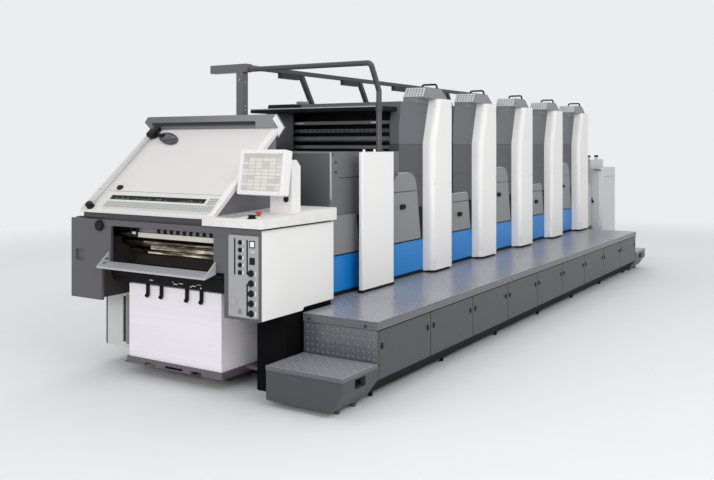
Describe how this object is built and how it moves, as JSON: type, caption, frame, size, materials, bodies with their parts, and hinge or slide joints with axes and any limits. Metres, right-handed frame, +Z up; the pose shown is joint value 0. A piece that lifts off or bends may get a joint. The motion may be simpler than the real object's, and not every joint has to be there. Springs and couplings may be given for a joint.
{
  "type": "offset printing press",
  "caption": "Sheet-fed offset printing press with a row of white-covered units, a delivery with light desk and pile, a feeder and a stepped side platform.",
  "frame": {"origin": "on the floor, on the press centreline, under the middle of the centre printing unit", "axes": "+X along the press from the delivery to the feeder, +Y from the operator's side to the drive side, +Z up"},
  "size_m": [7.534, 2.127, 2.115],
  "materials": {
    "white_cover": "gloss",
    "light_grey": "satin",
    "mid_grey": "satin",
    "dark_grey": "satin",
    "checker_plate": "satin",
    "toe_black": "satin",
    "blue_cover": "gloss",
    "black_metal": "satin",
    "black_plastic": "matte",
    "key_strip": "satin",
    "bright_steel": "brushed",
    "paper": "matte",
    "pallet_board": "matte"
  },
  "bodies": {
    "press": {"base_covers": "blue_cover", "beam_lamps": "black_metal", "beam_struts": "dark_grey", "cap_grilles": "light_grey", "cap_handles": "black_metal", "chain_housing": "dark_grey", "console_top": "white_cover", "control_knobs": "black_plastic", "control_panel": "light_grey", "delivery_frame_drive": "black_metal", "delivery_frame_operator": "black_metal", "delivery_front_panel": "dark_grey", "delivery_roof": "dark_grey", "delivery_shelf": "light_grey", "delivery_side_covers": "white_cover", "desk_hood": "mid_grey", "feed_board": "pallet_board", "feed_pile": "paper", "feed_table": "dark_grey", "feeder_cabinets": "light_grey", "feeder_head": "light_grey", "feeder_head_boxes": "light_grey", "gantry": "dark_grey", "gripper_shafts": "bright_steel", "guard_pipe": "dark_grey", "ink_key_strip": "key_strip", "leg_cover": "light_grey", "light_desk": "white_cover", "monitor_pedestal": "white_cover", "overhead_beam": "dark_grey", "plate_bars": "bright_steel", "platform_decks": "checker_plate", "platform_panels": "dark_grey", "platform_plinth": "toe_black", "platform_steps": "dark_grey", "post_covers": "white_cover", "press_bed": "dark_grey", "scanner_head": "black_plastic", "scanner_rail": "bright_steel", "sheet_stops": "black_metal", "unit_1_body": "dark_grey", "unit_1_tower_covers": "white_cover", "unit_1_visor": "dark_grey", "unit_2_body": "dark_grey", "unit_2_tower_covers": "white_cover", "unit_3_body": "dark_grey", "unit_3_tower_covers": "white_cover", "unit_4_body": "dark_grey", "unit_4_tower_covers": "white_cover", "unit_5_body": "dark_grey", "unit_5_tower_covers": "white_cover", "unit_caps": "mid_grey", "unit_guards": "mid_grey"},
    "pile_lift": {"delivery_pile": "paper", "pile_board": "pallet_board"},
    "monitor": {"monitor": "white_cover"}
  },
  "joints": [
    {"name": "pile_hoist", "type": "slide", "parent": "press", "child": "pile_lift", "axis": [0, 0, 1], "range_m": [-0.07, 0]},
    {"name": "monitor_tilt", "type": "hinge", "parent": "press", "child": "monitor", "pos_m": [-3.97868, -0.6315, 1.31298], "axis": [0, 1, 0], "range_deg": [-10, 15]}
  ]
}
